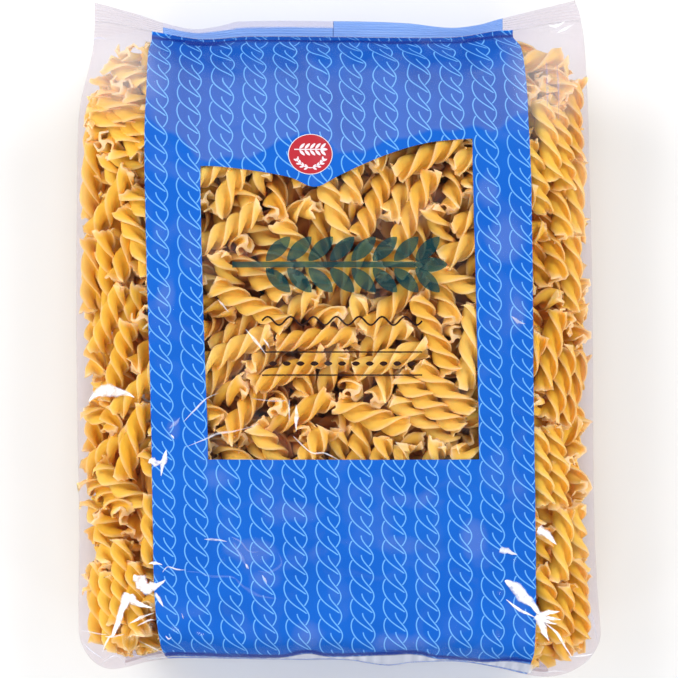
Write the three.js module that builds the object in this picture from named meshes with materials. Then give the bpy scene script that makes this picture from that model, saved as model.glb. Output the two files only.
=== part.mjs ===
import * as THREE from 'three';

// Pasta packet: a clear plastic film bag, crimped shut across its top and folded under across its
// bottom, packed full of dry pasta twists. It lies on its back with the printed front up.
// Millimetres, +Z up. X runs across the bag and Y from its bottom towards the sealed top. The
// origin is the middle of the bag's outline, on the surface that the bag lies on.
// A shut bag is one solid out to its film. The body is two skins over one outline, the front one
// domed and the back one flattened by the weight, and they meet round the rim.

// Size of the whole bag
const bagLength = 281;
const bagThickness = 70;

// The rim, where front and back skin meet, stands this high at the sides and at the two ends
const sideRimHeight = 29;
const topRimHeight = 42;
const bottomRimHeight = 34;

// Crimped band along the top, its two plies of film drawn thicker than they are so that they
// make a solid, and the flat film below the band at the two ears
const crimpThickness = 1.8;
const earDrop = 9;

// How far the skins run before they reach their full height, from the crimp and from the bottom,
// where they turn over a blunt edge, less blunt towards the corners
const topRun = 32;
const bottomRun = 16;
const cornerRun = 14;
const bottomBluntness = 2.5;

// The filling has settled towards the bottom, so the top of the body is this much lower
const topSlump = 5;

// Soft lumps where the film lies over the pasta, and pleats that run out of the crimp
const lumpHeight = 0.6;
const lumpSpacing = 27;
const pleatHeight = 0.9;
const pleatSpacing = 25;
const pleatRun = 30;

// The back is pressed flat on the surface where it would bulge below it
const backFullness = 1.4;

// Rounded pockets of empty film at the bottom corners: how wide and how high each one curves
const leftPocket = { across: 15, up: 17 };
const rightPocket = { across: 21, up: 16 };

// Outline of the bag. The side edges are given as [height above the bottom edge, x], and the two
// end edges, and the line that the crimped band ends at below, as [x, y].
const leftEdge = [
  [0, -108.6], [28, -109.1], [59, -109], [99, -109.7], [143, -110.2], [198, -110],
  [228, -109], [240, -107.5], [253, -104], [264, -101.7], [281, -101.2],
];
const rightEdge = [
  [0, 109.2], [16, 109.4], [32, 108.4], [51, 107.5], [79, 106.8], [158, 106.3],
  [224, 104.4], [249, 102.9], [265, 101.5], [274, 99.8], [281, 97.7],
];
const bottomEdge = [
  [-110, -137.8], [-93, -137.8], [-79, -134.4], [-67, -133], [-20, -133.4], [4, -133.6],
  [20, -135.8], [30, -134.6], [50, -134.4], [65, -136.8], [83, -140.8], [96, -140.4],
  [110, -138.8],
];
const topEdge = [
  [-110, 140.3], [-87, 135.5], [-74, 131.4], [-61, 128.6], [-51, 129.7], [-41, 132], [0, 132],
  [28, 131], [46, 129.2], [58, 130.5], [67, 133], [98, 140.3], [110, 143.2],
];
const crimpLine = [
  [-101, 131.6], [-76, 127.3], [-57, 124.6], [-37, 125.9], [0, 125.6], [17, 125.2], [48, 125.4],
  [65, 128], [72, 128.4], [98, 132],
];

// Cells across and along each skin
const cellsAcross = 44;
const cellsAlong = 46;

// Smooth curve through points given as [place, value]: a cubic between each two, whose slope at a
// point is that of the line between its two neighbours, and level at both ends.
function curveThrough(points, place) {
  const last = points.length - 1;
  let i = 0;
  while (i < last - 1 && place > points[i + 1][0]) {
    i += 1;
  }
  const before = points[Math.max(i - 1, 0)];
  const from = points[i];
  const to = points[i + 1];
  const after = points[Math.min(i + 2, last)];
  const t = THREE.MathUtils.clamp((place - from[0]) / (to[0] - from[0]), 0, 1);
  const span = to[0] - from[0];
  const slopeFrom = i === 0 ? 0 : (to[1] - before[1]) / (to[0] - before[0]);
  const slopeTo = i === last - 1 ? 0 : (after[1] - from[1]) / (after[0] - from[0]);
  const t2 = t * t;
  const t3 = t2 * t;
  return (2 * t3 - 3 * t2 + 1) * from[1] + (t3 - 2 * t2 + t) * span * slopeFrom
    + (3 * t2 - 2 * t3) * to[1] + (t3 - t2) * span * slopeTo;
}

// How far a rounded corner pulls the side edge in at a height above the bottom: the gap between
// a quarter ellipse and its box.
function cornerInset(pocket, height) {
  const rest = THREE.MathUtils.clamp(1 - height / pocket.up, 0, 1);
  return pocket.across * (1 - Math.sqrt(1 - rest * rest));
}

// Place on the outline's sheet: u from -1 at the left edge to 1 at the right one, v from 0 at the
// bottom edge to 1 at the top one.
function planPoint(u, v) {
  const height = v * bagLength;
  const left = curveThrough(leftEdge, height) + cornerInset(leftPocket, height);
  const right = curveThrough(rightEdge, height) - cornerInset(rightPocket, height);
  const x = THREE.MathUtils.lerp(left, right, (1 + u) / 2);
  const bottom = curveThrough(bottomEdge, x);
  const top = curveThrough(topEdge, x);
  return { x, y: THREE.MathUtils.lerp(bottom, top, v), bottom, top };
}

// Height of the rim's sheet: level along the sides, higher at both ends, with a slow wave in the
// crimp and its ears turned up a little.
function rimHeight(u, plan) {
  const towardsTop = THREE.MathUtils.smoothstep(plan.y, plan.top - 90, plan.top);
  const towardsBottom = THREE.MathUtils.smoothstep(-plan.y, -plan.bottom - 60, -plan.bottom);
  const wave = 1.6 * Math.sin(plan.x / 17) + 3.5 * u ** 4;
  return sideRimHeight + towardsTop * (topRimHeight - sideRimHeight + wave)
    + towardsBottom * (bottomRimHeight - sideRimHeight);
}

// Fullness of the body from 0 at the rim to 1 where it is thickest. Across, it is a flattened
// round. Along, it rises steeply out of the crimp, later at the ears, and more steeply still out
// of the bottom fold.
function fullness(u, plan) {
  const start = curveThrough(crimpLine, plan.x) - earDrop * u ** 6;
  const fromTop = THREE.MathUtils.clamp((start - plan.y) / topRun, 0, 1);
  const run = bottomRun + cornerRun * u ** 4;
  const fromBottom = THREE.MathUtils.clamp((plan.y - plan.bottom) / run, 0, 1);
  const topRise = Math.sin(fromTop * Math.PI / 2) ** 0.8;
  const bottomRise = (1 - (1 - fromBottom) ** bottomBluntness) ** (1 / bottomBluntness);
  const roundness = 0.5 + 0.7 * (1 - topRise) ** 2;
  const across = Math.max(1 - Math.abs(u) ** 2.7, 0) ** roundness;
  return across * topRise * bottomRise;
}

// Lumps of the filling under the film, and the pleats below the crimp.
function relief(plan) {
  const k = 2 * Math.PI / lumpSpacing;
  const lumps = Math.sin(k * plan.x + 1.5 * Math.sin(0.4 * k * plan.y))
    + Math.sin(0.9 * k * plan.y + 1.8 * Math.sin(0.35 * k * plan.x + 2));
  const belowCrimp = (curveThrough(crimpLine, plan.x) - plan.y) / pleatRun;
  const pleatFade = Math.sin(Math.PI * THREE.MathUtils.clamp(belowCrimp, 0, 1));
  const pleats = Math.cos(2 * Math.PI * plan.x / pleatSpacing + 0.8);
  return 0.5 * lumpHeight * lumps + pleatHeight * pleatFade * pleats;
}

function frontHeight(u, plan) {
  const full = fullness(u, plan);
  const rim = rimHeight(u, plan);
  const slump = topSlump * THREE.MathUtils.smoothstep(plan.y, -20, 120);
  const rise = bagThickness - crimpThickness / 2 - lumpHeight - slump - rim;
  return rim + crimpThickness / 2 + full * rise + Math.min(1, 2 * full) * relief(plan);
}

function backHeight(u, plan) {
  const bulge = fullness(u, plan) * backFullness * sideRimHeight;
  return Math.max(0, rimHeight(u, plan) - crimpThickness / 2 - bulge);
}

// Closed body: the front skin, then the back skin, which shares the front's rim points. Cells are
// closer together towards the rim, where the skins turn steeply.
function bagBody() {
  const positions = [];
  const front = [];
  const back = [];
  for (let j = 0; j <= cellsAlong; j += 1) {
    const v = 0.3 * (j / cellsAlong) + 0.35 * (1 - Math.cos(Math.PI * j / cellsAlong));
    front.push([]);
    back.push([]);
    for (let i = 0; i <= cellsAcross; i += 1) {
      const spread = 2 * i / cellsAcross - 1;
      const u = 0.35 * spread + 0.65 * Math.sin(spread * Math.PI / 2);
      const plan = planPoint(u, v);
      const onRim = i === 0 || i === cellsAcross || j === 0 || j === cellsAlong;
      front[j].push(positions.length / 3);
      if (onRim) {
        back[j].push(positions.length / 3);
        positions.push(plan.x, plan.y, rimHeight(u, plan));
      } else {
        back[j].push(positions.length / 3 + 1);
        positions.push(plan.x, plan.y, frontHeight(u, plan));
        positions.push(plan.x, plan.y, backHeight(u, plan));
      }
    }
  }
  const faces = [];
  for (let j = 0; j < cellsAlong; j += 1) {
    for (let i = 0; i < cellsAcross; i += 1) {
      const above = [front[j][i], front[j][i + 1], front[j + 1][i + 1], front[j + 1][i]];
      const below = [back[j][i], back[j][i + 1], back[j + 1][i + 1], back[j + 1][i]];
      // The diagonal of a corner cell runs from the corner inwards, so that no triangle of it
      // has all three points on the rim, where both skins would share it.
      const leaning = (i < cellsAcross / 2) === (j < cellsAlong / 2);
      const first = leaning ? [0, 1, 2] : [0, 1, 3];
      const second = leaning ? [0, 2, 3] : [1, 2, 3];
      for (const corner of [first, second]) {
        faces.push(...corner.map((c) => above[c]));
        faces.push(...corner.map((c) => below[c]).reverse());
      }
    }
  }
  const geometry = new THREE.BufferGeometry();
  geometry.setAttribute('position', new THREE.Float32BufferAttribute(positions, 3));
  geometry.setIndex(faces);
  geometry.computeVertexNormals();
  return geometry;
}

const printedFilm = new THREE.MeshStandardMaterial({
  color: 0x2369e6,
  roughness: 0.3,
  metalness: 0,
});

const packet = new THREE.Group();
const bag = new THREE.Mesh(bagBody(), printedFilm);
bag.name = 'bag';
packet.add(bag);

export default packet;
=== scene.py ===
import bpy
import numpy as np
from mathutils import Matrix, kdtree


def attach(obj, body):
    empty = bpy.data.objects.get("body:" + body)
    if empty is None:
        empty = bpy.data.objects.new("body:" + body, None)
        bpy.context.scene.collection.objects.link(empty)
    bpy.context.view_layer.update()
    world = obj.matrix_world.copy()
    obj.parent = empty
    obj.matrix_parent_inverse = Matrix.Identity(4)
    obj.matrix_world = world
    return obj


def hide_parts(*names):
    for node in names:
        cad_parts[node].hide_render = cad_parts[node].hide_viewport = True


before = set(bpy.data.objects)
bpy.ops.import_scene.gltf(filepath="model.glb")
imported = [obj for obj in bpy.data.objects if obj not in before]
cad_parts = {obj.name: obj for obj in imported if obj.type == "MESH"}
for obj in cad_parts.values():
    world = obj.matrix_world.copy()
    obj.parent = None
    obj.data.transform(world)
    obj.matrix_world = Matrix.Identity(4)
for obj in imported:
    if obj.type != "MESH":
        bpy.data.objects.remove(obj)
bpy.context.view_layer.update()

# The clear film bag
# A tube of clear oriented polypropylene film, crimped shut at the top, folded under at the bottom
# and pulled tight over the pasta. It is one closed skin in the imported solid's form, a domed front
# and a back that the weight presses flat, with the film's own fine creases added.

MM = 0.001
BAG_LENGTH = 281.0
BAG_THICKNESS = 70.0
SIDE_RIM_HEIGHT = 29.0
TOP_RIM_HEIGHT = 42.0
BOTTOM_RIM_HEIGHT = 34.0
TOP_SLOPE_RUN = 90.0
BOTTOM_SLOPE_RUN = 60.0
CRIMP_HALF_THICKNESS = 0.9
CRIMP_WAVE_HEIGHT = 1.6
CRIMP_WAVE_LENGTH = 17.0
EAR_LIFT = 3.5
EAR_DROP = 9.0
TOP_RUN = 32.0
BOTTOM_RUN = 16.0
CORNER_RUN = 14.0
BOTTOM_BLUNTNESS = 2.5
TOP_SLUMP = 5.0
LUMP_HEIGHT = 0.6
LUMP_SPACING = 27.0
PLEAT_HEIGHT = 0.9
PLEAT_SPACING = 25.0
PLEAT_RUN = 30.0
BACK_FULLNESS = 1.4
BASE_CLEARANCE = 0.45
LEFT_POCKET = (15.0, 17.0)
RIGHT_POCKET = (21.0, 16.0)
LEFT_EDGE = [
    (0, -108.6), (28, -109.1), (59, -109), (99, -109.7), (143, -110.2), (198, -110),
    (228, -109), (240, -107.5), (253, -104), (264, -101.7), (281, -101.2),
]
RIGHT_EDGE = [
    (0, 109.2), (16, 109.4), (32, 108.4), (51, 107.5), (79, 106.8), (158, 106.3),
    (224, 104.4), (249, 102.9), (265, 101.5), (274, 99.8), (281, 97.7),
]
BOTTOM_EDGE = [
    (-110, -137.8), (-93, -137.8), (-79, -134.4), (-67, -133), (-20, -133.4), (4, -133.6),
    (20, -135.8), (30, -134.6), (50, -134.4), (65, -136.8), (83, -140.8), (96, -140.4),
    (110, -138.8),
]
TOP_EDGE = [
    (-110, 140.3), (-87, 135.5), (-74, 131.4), (-61, 128.6), (-51, 129.7), (-41, 132), (0, 132),
    (28, 131), (46, 129.2), (58, 130.5), (67, 133), (98, 140.3), (110, 143.2),
]
CRIMP_LINE = [
    (-101, 131.6), (-76, 127.3), (-57, 124.6), (-37, 125.9), (0, 125.6), (17, 125.2), (48, 125.4),
    (65, 128), (72, 128.4), (98, 132),
]


def curve_through(points, place):
    """Smooth curve through (place, value) points: a cubic between each two, whose slope at a
    point is that of the line between its two neighbours, and level at both ends."""
    at, value = np.array(points, float).T
    slope = np.zeros(len(at))
    slope[1:-1] = (value[2:] - value[:-2]) / (at[2:] - at[:-2])
    place = np.clip(place, at[0], at[-1])
    i = np.clip(np.searchsorted(at, place, side="right") - 1, 0, len(at) - 2)
    span = at[i + 1] - at[i]
    t = (place - at[i]) / span
    return (
        (2 * t**3 - 3 * t**2 + 1) * value[i]
        + (t**3 - 2 * t**2 + t) * span * slope[i]
        + (3 * t**2 - 2 * t**3) * value[i + 1]
        + (t**3 - t**2) * span * slope[i + 1]
    )


def smooth_step(value, low, high):
    """0 below low, 1 above high, and 3 t squared less 2 t cubed in between."""
    t = np.clip((value - low) / (high - low), 0, 1)
    return t * t * (3 - 2 * t)


def corner_inset(pocket, height):
    """How far a round corner pulls the side in: a quarter ellipse's gap to its box."""
    rest = np.clip(1 - height / pocket[1], 0, 1)
    return pocket[0] * (1 - np.sqrt(1 - rest * rest))


def side_edges(v):
    """x of the left and of the right edge at share v of the way from the bottom to the top."""
    height = v * BAG_LENGTH
    left = curve_through(LEFT_EDGE, height) + corner_inset(LEFT_POCKET, height)
    right = curve_through(RIGHT_EDGE, height) - corner_inset(RIGHT_POCKET, height)
    return left, right


def across_share(x, y):
    """u of a place on the bag: from -1 at the left edge to 1 at the right one."""
    bottom = curve_through(BOTTOM_EDGE, x)
    top = curve_through(TOP_EDGE, x)
    left, right = side_edges(np.clip((y - bottom) / (top - bottom), 0, 1))
    return np.clip(2 * (x - left) / (right - left) - 1, -1, 1)


def rim_height(u, x, y):
    """Height of the sheet that the rim lies in: level along the sides and higher at both ends,
    with a slow sine wave in the crimp, whose ears turn up with the fourth power of u."""
    bottom = curve_through(BOTTOM_EDGE, x)
    top = curve_through(TOP_EDGE, x)
    towards_top = smooth_step(y, top - TOP_SLOPE_RUN, top)
    towards_bottom = smooth_step(-y, -bottom - BOTTOM_SLOPE_RUN, -bottom)
    wave = CRIMP_WAVE_HEIGHT * np.sin(x / CRIMP_WAVE_LENGTH) + EAR_LIFT * u**4
    return (
        SIDE_RIM_HEIGHT
        + towards_top * (TOP_RIM_HEIGHT - SIDE_RIM_HEIGHT + wave)
        + towards_bottom * (BOTTOM_RIM_HEIGHT - SIDE_RIM_HEIGHT)
    )


def fullness(u, x, y):
    """0 at the rim to 1 where the bag is thickest: a flattened round across, times a sine's rise
    out of the crimp, later at the ears, times a blunt round rise out of the bottom fold."""
    bottom = curve_through(BOTTOM_EDGE, x)
    start = curve_through(CRIMP_LINE, x) - EAR_DROP * u**6
    from_top = np.clip((start - y) / TOP_RUN, 0, 1)
    from_bottom = np.clip((y - bottom) / (BOTTOM_RUN + CORNER_RUN * u**4), 0, 1)
    top_rise = np.sin(from_top * np.pi / 2) ** 0.8
    bottom_rise = (1 - (1 - from_bottom) ** BOTTOM_BLUNTNESS) ** (1 / BOTTOM_BLUNTNESS)
    roundness = 0.5 + 0.7 * (1 - top_rise) ** 2
    across = np.maximum(1 - np.abs(u) ** 2.7, 0) ** roundness
    return across * top_rise * bottom_rise


def lumps_and_pleats(x, y):
    """Slow lumps over the pasta, two crossed sines each bent by another, and a cosine of pleats
    that fades in and out below the crimp."""
    k = 2 * np.pi / LUMP_SPACING
    lumps = np.sin(k * x + 1.5 * np.sin(0.4 * k * y)) + np.sin(
        0.9 * k * y + 1.8 * np.sin(0.35 * k * x + 2)
    )
    below_crimp = (curve_through(CRIMP_LINE, x) - y) / PLEAT_RUN
    fade = np.sin(np.pi * np.clip(below_crimp, 0, 1))
    pleats = np.cos(2 * np.pi * x / PLEAT_SPACING + 0.8)
    return 0.5 * LUMP_HEIGHT * lumps + PLEAT_HEIGHT * fade * pleats


# Creases that run over the film: both ends, ridge height and half width
CREASES = [
    ((-86, -107), (-93, -123), 1.3, 1.6),
    ((-86, -107), (-77, -111), 1.0, 1.4),
    ((-84, -98), (-80, -106), 1.4, 2.2),
    ((-79, -92), (-73, -93), 0.8, 1.2),
    ((-100, -133), (-90, -122), 0.7, 1.2),
    ((-85, -127), (-75, -131), 0.8, 1.0),
    ((70, -99), (81.5, -114), 1.4, 2.2),
    ((82, -114), (92, -113), 1.2, 1.6),
    ((82, -115), (86.5, -124), 1.2, 1.7),
    ((86, -117), (97, -132), 0.8, 1.0),
    ((83, -79), (90, -85), 1.1, 1.4),
    ((68, -87), (73, -89), 1.0, 1.5),
    ((-103, -26), (-84, -24), 1.2, 2.2),
    ((-17, -27), (-18, -38), 0.9, 1.3),
    ((-55, -41), (-32, -34), 0.5, 1.2),
    ((-38, 4), (-29, -7), 0.7, 1.2),
    ((-75, 118), (-60, 108), 1.0, 1.6),
    ((-62, 120), (-40, 103), 0.8, 1.8),
    ((70, 120), (56, 106), 1.0, 1.6),
    ((40, 120), (30, 100), 0.7, 1.8),
    ((-10, 121), (-4, 104), 0.7, 1.8),
    ((86, 117), (90, 92), 0.8, 1.4),
    ((80, 118), (82, 96), 0.8, 1.6),
    ((84, 127), (98, 131), 0.6, 1.3),
    ((-92, 120), (-86, 98), 0.7, 1.4),
    ((-98, 118), (-96, 98), 0.7, 1.6),
]


def crease_height(x, y):
    """Ridge height of all creases at a place. Along its line a crease fades out at both ends, and
    across it falls off as one over one plus the squared distance in half widths."""
    height = np.zeros_like(x)
    for start, end, ridge, half in CREASES:
        along = np.array(end, float) - start
        length = np.hypot(*along)
        along /= length
        s = (x - start[0]) * along[0] + (y - start[1]) * along[1]
        d = (x - start[0]) * -along[1] + (y - start[1]) * along[0]
        beyond = np.maximum(np.maximum(-s, s - length), 0)
        off = np.hypot(d, beyond) / half
        height += ridge / (1 + off**2) * np.exp(-((off / 4) ** 2))
    return height


WRINKLE_HEIGHT = 0.13
WRINKLE_COUNT = 22
wrinkle_random = np.random.default_rng(11)
wrinkle_draws = wrinkle_random.uniform((9, 0, 0), (24, np.pi, 2 * np.pi), (WRINKLE_COUNT, 3))


def fine_wrinkles(x, y):
    """Small taut bumps of the film over the pasta: a sum of sine waves of random direction, 9 to
    24 mm long, the longer ones higher."""
    total = np.zeros_like(x)
    for length, direction, phase in wrinkle_draws:
        k = 2 * np.pi / length
        wave = np.sin(k * (x * np.cos(direction) + y * np.sin(direction)) + phase)
        total += wave * 0.4 / k**0.8
    return WRINKLE_HEIGHT * total


def front_height(x, y, u=None):
    """z of the front skin over a place: the rim's sheet, plus the body's fullness times its
    rise, plus lumps, wrinkles and creases, which fade out at the rim."""
    u = across_share(x, y) if u is None else u
    full = fullness(u, x, y)
    rim = rim_height(u, x, y)
    slump = TOP_SLUMP * smooth_step(y, -20, 120)
    rise = BAG_THICKNESS - LUMP_HEIGHT - slump - rim - CRIMP_HALF_THICKNESS
    relief = lumps_and_pleats(x, y) + fine_wrinkles(x, y) + crease_height(x, y)
    return rim + full * rise + np.minimum(1, 2.5 * full) * relief


def back_height(x, y, u=None):
    """z of the back skin: the rim's sheet less the bulge, cut off where it lies on the floor."""
    u = across_share(x, y) if u is None else u
    bulge = fullness(u, x, y) * (BACK_FULLNESS * SIDE_RIM_HEIGHT + 3 * fine_wrinkles(x, y))
    return np.maximum(BASE_CLEARANCE, rim_height(u, x, y) - bulge)


# Edges of the print, so that rows and columns of the film's grid run along them. Upright edges
# are given as (height above the bottom edge, x) and level ones as (x, y).
PANEL_LEFT = [
    (0, -71), (9, -73.2), (30, -75.6), (60, -76.4), (100, -77.1), (145, -78.4), (175, -79.3),
    (213, -80), (237, -79.3), (253, -78.8), (259, -77.6),
]
PANEL_RIGHT = [
    (0, 78.3), (10, 80.2), (40, 80.9), (109, 80), (188, 79.2), (213, 78), (237, 77),
    (253, 75.2), (259, 72.2),
]
WINDOW_LEFT = [(79, -53.4), (138, -55.2), (206, -56.8)]
WINDOW_RIGHT = [(79, 57.3), (138, 56.2), (216, 54.6)]
WINDOW_BOTTOM = -49.2
WINDOW_TOP = [
    (-58, 70.8), (-50, 70.6), (-36, 69), (-20, 66), (-9.8, 62.2), (0, 66.8), (19, 75.2),
    (37, 80.4), (54, 82), (60, 82),
]
SEAL_LIP = [
    (-80, 2.2), (-25, 2.2), (-13, 4.6), (-4, 2.8), (5, 3.6), (20, 6.6), (33, 5.2), (42, 2.4),
    (58, 2.4), (70, 5.6), (80, 6.4),
]
WINDOW_NOMINAL_BOTTOM = 84.6
WINDOW_NOMINAL_TOP = 205.8


def spaced(cells, dense_start=False, dense_end=False):
    """cells + 1 shares from 0 to 1, closer together at the dense ends, where a sine eases them."""
    t = np.linspace(0, 1, cells + 1)
    if dense_start:
        return 0.3 * t + 0.7 * (1 - np.cos(np.pi * t / 2))
    if dense_end:
        return 0.3 * t + 0.7 * np.sin(np.pi * t / 2)
    return t


def strip_places(cells):
    """For every line of the grid the index of the measured line before it, and its share of the
    way to the next one."""
    index, share = [], []
    for k, shares in enumerate(cells):
        last = k == len(cells) - 1
        index.append(np.full(len(shares) - (not last), k))
        share.append(shares if last else shares[:-1])
    return np.concatenate(index), np.concatenate(share)


ROW_BANDS = [spaced(14, dense_start=True), spaced(68, dense_start=True), spaced(82), spaced(50)]
COLUMN_STRIPS = [
    spaced(34, dense_start=True),
    spaced(22),
    spaced(78),
    spaced(22),
    spaced(34, dense_end=True),
]
row_band, row_share = strip_places(ROW_BANDS)
column_strip, column_share = strip_places(COLUMN_STRIPS)
row_nominal = np.array([0, 4, WINDOW_NOMINAL_BOTTOM, WINDOW_NOMINAL_TOP, 262.0])
row_height = (
    row_nominal[row_band] * (1 - row_share) + row_nominal[row_band + 1] * row_share
)


def film_grid():
    """x and y of every grid point of the film. Rows lie between the bottom fold, the seal's lip,
    the window's bottom and top, and the crimp; columns between the side edges, the panel's edges
    and the window's. Both depend on each other, so they are settled in a few rounds."""
    rows, columns = len(row_band), len(column_strip)
    x = np.zeros((rows, columns))
    v = np.repeat(row_height[:, None] / BAG_LENGTH, columns, 1)
    panel = [curve_through(c, row_height) for c in (PANEL_LEFT, WINDOW_LEFT, WINDOW_RIGHT, PANEL_RIGHT)]
    for _ in range(6):
        left, right = side_edges(v)
        inner = [np.repeat(line[:, None], columns, 1) for line in panel]
        lines = np.stack([left, np.maximum(inner[0], left + 1), inner[1], inner[2],
                          np.minimum(inner[3], right - 1), right])
        j = np.arange(rows)[:, None]
        i = np.arange(columns)[None]
        before = lines[column_strip[None], j, i]
        after = lines[column_strip[None] + 1, j, i]
        x = before * (1 - column_share) + after * column_share
        bottom = curve_through(BOTTOM_EDGE, x)
        top = curve_through(TOP_EDGE, x)
        levels = np.stack([
            bottom,
            bottom + curve_through(SEAL_LIP, x),
            np.full_like(x, WINDOW_BOTTOM),
            curve_through(WINDOW_TOP, x),
            curve_through(CRIMP_LINE, x),
        ])
        below = levels[row_band[:, None], j, i]
        above = levels[row_band[:, None] + 1, j, i]
        y = below * (1 - row_share[:, None]) + above * row_share[:, None]
        v = (y - bottom) / (top - bottom)
    return x, y


film_x, film_y = film_grid()
film_u = across_share(film_x, film_y)
film_rows, film_columns = film_x.shape
film_front = front_height(film_x, film_y, film_u)
film_back = back_height(film_x, film_y, film_u)


def soft_patch(centre_x, centre_y, reach_x, reach_y):
    """1 in the middle of an oval patch of the film, and a flat-topped bell's fall around it."""
    off = ((film_x - centre_x) / reach_x) ** 2 + ((film_y - centre_y) / reach_y) ** 2
    return np.exp(-(off**1.5))


# How milky the film is, and where a painted sheen stands in for its reflections: a painted sheen
# along its rim, painted reflections as veils over the top corners, and a little milk in the bottom
# pockets, each given as x, y, its two reaches and how strong it is
RIM_SHEEN = 0.2
VEILS = [
    (-90, 112, 15, 18, 0.42), (88, 112, 14, 24, 0.42),
    (-100, -133, 12, 7, 0.12), (100, -134, 12, 7, 0.12),
]
film_milk_and_sheen = RIM_SHEEN * smooth_step(np.abs(film_u), 0.93, 1.0)
for *patch, strength in VEILS:
    film_milk_and_sheen = np.maximum(film_milk_and_sheen, strength * soft_patch(*patch))

# Along the bottom an uneven milky lip of the seal is crumpled up over the print
above_bottom = film_y - curve_through(BOTTOM_EDGE, film_x)
lip = smooth_step(curve_through(SEAL_LIP, film_x) - above_bottom, -0.2, 0.5)
lip = lip * smooth_step(above_bottom, 1.2, 1.8) * smooth_step(-np.abs(film_x), -81, -79)
film_milk_and_sheen = np.maximum(film_milk_and_sheen, lip * (1.1 + 0.25 * np.sin(film_x) * np.sin(2.3 * film_x)))

# The film is a little hazy, more over the middle, where the haze is also a painted sheen in soft
# noise patches. Where the film is slack, off the pasta, it is creased and carries a painted sheen:
# above the window, but not close to the crimp; and more painted sheen lies in patches, given as
# the veils are
SLACK_EDGE = [
    (-80, 88), (-70, 84), (-57, 73), (-45, 72), (-30, 75), (-22, 81), (-5, 81), (2, 74), (19, 79),
    (37, 83.5), (56, 85), (64, 85), (80, 92),
]
slack_edge = curve_through(SLACK_EDGE, film_x) + 0.8 * np.sin(film_x / 2.7)
film_slack = smooth_step(film_y - slack_edge, 0, 3.5)
film_slack = film_slack * smooth_step(-np.abs(film_x), -84, -70)
film_haze_and_sheen = 0.05 + 0.25 * smooth_step(-np.abs(film_x), -86, -74)
film_haze_and_sheen += 0.63 * film_slack * smooth_step(curve_through(CRIMP_LINE, film_x) - film_y, 5, 24)
SHEEN_PATCHES = [
    (-71, 18, 5, 9, 0.4), (68, 40, 9, 12, 0.45), (73, 11, 4, 8, 0.4), (-36, -86, 14, 6, 0.5),
    (55, -81, 7, 9, 0.6), (-16, -70, 16, 6, 0.35), (33, -66, 16, 5, 0.35), (25, -84, 12, 5, 0.3),
    (-13, -121, 8, 7, 0.4), (25, -124, 14, 5, 0.45), (-50, -57, 10, 5, 0.3), (-30, -98, 9, 5, 0.3),
    (61, 62, 6, 9, 0.45), (-68, -37, 4, 6, 0.4), (-74, 45, 4, 6, 0.3),
]
for *patch, strength in SHEEN_PATCHES:
    film_haze_and_sheen = np.maximum(film_haze_and_sheen, (0.3 + strength) * soft_patch(*patch))


def grid_faces(rows, columns, start=0):
    """Quads of a grid of points numbered row by row, facing the side that rows times columns
    turn anticlockwise to."""
    index = np.arange(rows * columns).reshape(rows, columns) + start
    return np.stack(
        [index[:-1, :-1], index[:-1, 1:], index[1:, 1:], index[1:, :-1]], -1
    ).reshape(-1, 4)


def make_piece(name, points_mm, faces, material, smooth=True):
    """A mesh object at the origin from points in millimetres and a list or array of faces."""
    mesh = bpy.data.meshes.new(name)
    mesh.from_pydata((np.asarray(points_mm) * MM).tolist(), [], [list(f) for f in faces])
    mesh.polygons.foreach_set("use_smooth", np.full(len(mesh.polygons), smooth))
    mesh.materials.append(material)
    mesh.update()
    piece = bpy.data.objects.new(name, mesh)
    bpy.context.scene.collection.objects.link(piece)
    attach(piece, "root")
    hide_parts("bag")
    return piece


def point_values(piece, name, values, kind="FLOAT"):
    """Stores one number, or one vector, for each point of a piece for its material to read."""
    attribute = piece.data.attributes.new(name, kind, "POINT")
    field = "value" if kind == "FLOAT" else "vector"
    attribute.data.foreach_set(field, np.asarray(values, np.float32).ravel())


def linear(hex_colour):
    """An sRGB hex colour as linear red, green, blue and alpha."""
    s = np.array([int(hex_colour[i:i + 2], 16) / 255 for i in (1, 3, 5)])
    return (*np.where(s <= 0.04045, s / 12.92, ((s + 0.055) / 1.055) ** 2.4), 1.0)


def add_node(tree, kind, *inputs, output=0, **settings):
    """Adds a node, sets its properties, gives its inputs values or links, in order or by name in
    a dictionary, and returns one of its outputs."""
    made = tree.nodes.new("ShaderNode" + kind)
    for key, value in settings.items():
        setattr(made, key, value)
    named = inputs[0] if inputs and isinstance(inputs[0], dict) else dict(enumerate(inputs))
    for key, value in named.items():
        if isinstance(value, bpy.types.NodeSocket):
            tree.links.new(value, made.inputs[key])
        else:
            made.inputs[key].default_value = value
    return made.outputs[output]


def new_material(name):
    """An empty node material, its tree, and the socket that takes its surface."""
    material = bpy.data.materials.new(name)
    material.use_nodes = True
    tree = material.node_tree
    tree.nodes.clear()
    return material, tree, tree.nodes.new("ShaderNodeOutputMaterial").inputs["Surface"]


# Clear oriented polypropylene, 30 microns, cast and stretched: it mirrors at the angle that a
# plastic does, is all but clear elsewhere, and turns milky where it is creased. Its milk and haze
# also carry a painted sheen: a pale diffuse white laid over it where reflections are painted.
HAZE_AND_SHEEN_PATCH = 20.83
clear_film, tree, surface = new_material("clear_polypropylene_film_with_painted_sheen")
milk_and_sheen = add_node(tree, "Attribute", output="Fac", attribute_name="milk_and_sheen")
haze_and_sheen_field = add_node(tree, "Attribute", output="Fac", attribute_name="haze_and_sheen")
object_place = add_node(tree, "TexCoord", output="Object")
haze_and_sheen_noise = add_node(
    tree,
    "TexNoise",
    {"Vector": object_place, "Scale": 1 / (HAZE_AND_SHEEN_PATCH * MM), "Detail": 3.5, "Distortion": 1.0},
)
haze_and_sheen_sum = add_node(tree, "Math", haze_and_sheen_noise, 1.1, haze_and_sheen_field, operation="MULTIPLY_ADD")
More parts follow.
